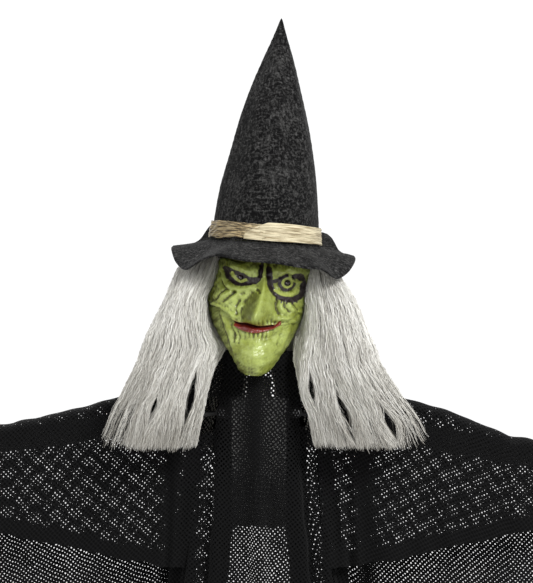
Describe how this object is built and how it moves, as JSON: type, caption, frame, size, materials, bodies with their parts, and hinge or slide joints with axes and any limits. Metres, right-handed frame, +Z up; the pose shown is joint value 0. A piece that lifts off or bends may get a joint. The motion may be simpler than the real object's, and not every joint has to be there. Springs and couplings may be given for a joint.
{
  "type": "animated witch figure",
  "caption": "Hanging animated witch with a turning head, talking jaw, lit eyes, posable wire arms, felt hat, fibre hair and a gauze robe.",
  "frame": {"origin": "centre of the hanging eye, the hole in the tab on top of the case behind the neck", "axes": "+X to the right as seen from the front, +Y backwards along the eye's bore towards the wall, +Z up"},
  "size_m": [1.0451, 0.1858, 1.0118],
  "materials": {
    "case_plastic": "satin",
    "light_plastic": "satin",
    "gear_plastic": "satin",
    "steel": "satin",
    "spring_steel": "polished",
    "cell_wrap": "gloss",
    "board": "satin",
    "cone_paper": "matte",
    "cable_sleeve": "matte",
    "face_vinyl": "gloss",
    "skull_plastic": "satin",
    "lamp": "gloss",
    "hat_felt": "matte",
    "raffia": "matte",
    "hair_fibre": "satin",
    "robe_gauze": "matte",
    "arm_foam": "matte",
    "hand_vinyl": "satin",
    "arm_wire": "satin"
  },
  "bodies": {
    "chassis": {"front_shell": "case_plastic", "rear_cover": "case_plastic", "case_screws": "steel", "neck_bush": "light_plastic", "neck_cable": "cable_sleeve", "gear_plate": "case_plastic", "gear_pins": "steel", "turn_motor": "steel", "battery_cells": "cell_wrap", "battery_contacts": "spring_steel", "sound_board": "board", "speaker_frame": "steel", "speaker_cone": "cone_paper", "microphone": "steel", "switch_body": "light_plastic", "button_switch": "light_plastic", "shoulder_bracket_left": "case_plastic", "shoulder_bracket_right": "case_plastic", "shoulder_pin_left": "steel", "shoulder_pin_right": "steel", "robe_body": "robe_gauze"},
    "door": {"battery_door": "case_plastic", "door_screw": "steel"},
    "switch": {"switch_knob": "light_plastic"},
    "button": {"test_button": "case_plastic"},
    "head": {"neck_shaft": "light_plastic", "turn_sector_gear": "gear_plastic", "head_frame": "light_plastic", "face_mask": "face_vinyl", "rear_skull": "skull_plastic", "jaw_pins": "steel", "jaw_gear_pin": "steel", "jaw_motor": "steel", "eye_lamp_left": "lamp", "eye_lamp_right": "lamp", "hat_cone": "hat_felt", "hat_brim": "hat_felt", "hat_band": "raffia", "hair_left": "hair_fibre", "hair_right": "hair_fibre", "hair_back_left": "hair_fibre", "hair_back_right": "hair_fibre"},
    "jaw": {"jaw": "face_vinyl", "jaw_arms": "light_plastic"},
    "late_idler": {"late_idler_gear": "gear_plastic"},
    "first_idler": {"first_idler_gear": "gear_plastic"},
    "turn_pinion": {"turn_motor_pinion": "gear_plastic"},
    "jaw_idler": {"jaw_idler_gear": "gear_plastic"},
    "jaw_pinion": {"jaw_motor_pinion": "gear_plastic"},
    "arm_left": {"arm_wire_left": "arm_wire", "arm_padding_left": "arm_foam", "hand_left": "hand_vinyl", "sleeve_left": "robe_gauze"},
    "arm_right": {"arm_wire_right": "arm_wire", "arm_padding_right": "arm_foam", "hand_right": "hand_vinyl", "sleeve_right": "robe_gauze"}
  },
  "joints": [
    {"name": "head_turn", "type": "hinge", "parent": "chassis", "child": "head", "pos_m": [0, -0.03, 0], "axis": [0, 0, 1], "range_deg": [-22, 28], "deforming": ["hair_left", "hair_right", "hair_back_left", "hair_back_right"]},
    {"name": "late_idler_turn", "type": "hinge", "parent": "chassis", "child": "late_idler", "pos_m": [-0.01485, -0.04485, 0], "axis": [0, 0, 1], "range_deg": [-90.1, 70.9]},
    {"name": "first_idler_turn", "type": "hinge", "parent": "chassis", "child": "first_idler", "pos_m": [-0.00465, -0.04485, 0], "axis": [0, 0, 1], "range_deg": [-169.46, 215.54]},
    {"name": "turn_motor_turn", "type": "hinge", "parent": "chassis", "child": "turn_pinion", "pos_m": [0.00555, -0.04485, 0], "axis": [0, 0, 1], "range_deg": [-516.6, 406]},
    {"name": "jaw_open", "type": "hinge", "parent": "head", "child": "jaw", "pos_m": [0.00367, -0.04021, 0.08584], "axis": [0.9958, -0.0522, -0.075], "range_deg": [0, 12]},
    {"name": "jaw_idler_turn", "type": "hinge", "parent": "head", "child": "jaw_idler", "pos_m": [0.00558, -0.02979, 0.10398], "axis": [0.9958, -0.0522, -0.075], "range_deg": [-72.5, 0.5]},
    {"name": "jaw_motor_turn", "type": "hinge", "parent": "head", "child": "jaw_pinion", "pos_m": [0.00651, -0.02473, 0.11279], "axis": [0.9958, -0.0522, -0.075], "range_deg": [-0.5, 173.3]},
    {"name": "shoulder_left", "type": "hinge", "parent": "chassis", "child": "arm_left", "pos_m": [-0.037, -0.038, -0.022], "axis": [0, -1, 0], "range_deg": [-25, 30], "deforming": ["sleeve_left"]},
    {"name": "shoulder_right", "type": "hinge", "parent": "chassis", "child": "arm_right", "pos_m": [0.037, -0.038, -0.022], "axis": [0, 1, 0], "range_deg": [-25, 30], "deforming": ["sleeve_right"]},
    {"name": "battery_door_off", "type": "slide", "parent": "chassis", "child": "door", "axis": [0, 1, 0], "range_m": [0, 0.03]},
    {"name": "switch_slide", "type": "slide", "parent": "chassis", "child": "switch", "axis": [1, 0, 0], "range_m": [0, 0.006]},
    {"name": "test_press", "type": "slide", "parent": "chassis", "child": "button", "axis": [0, 0, 1], "range_m": [0, 0.0015], "stiffness_N_per_m": 400, "springref_m": -0.0005}
  ],
  "couplings": [
    {"joint": "late_idler_turn", "follows": "head_turn", "ratio": -3.2},
    {"joint": "first_idler_turn", "follows": "head_turn", "ratio": 7.68},
    {"joint": "turn_motor_turn", "follows": "head_turn", "ratio": -18.432},
    {"joint": "jaw_idler_turn", "follows": "jaw_open", "ratio": -6},
    {"joint": "jaw_motor_turn", "follows": "jaw_open", "ratio": 14.4}
  ]
}
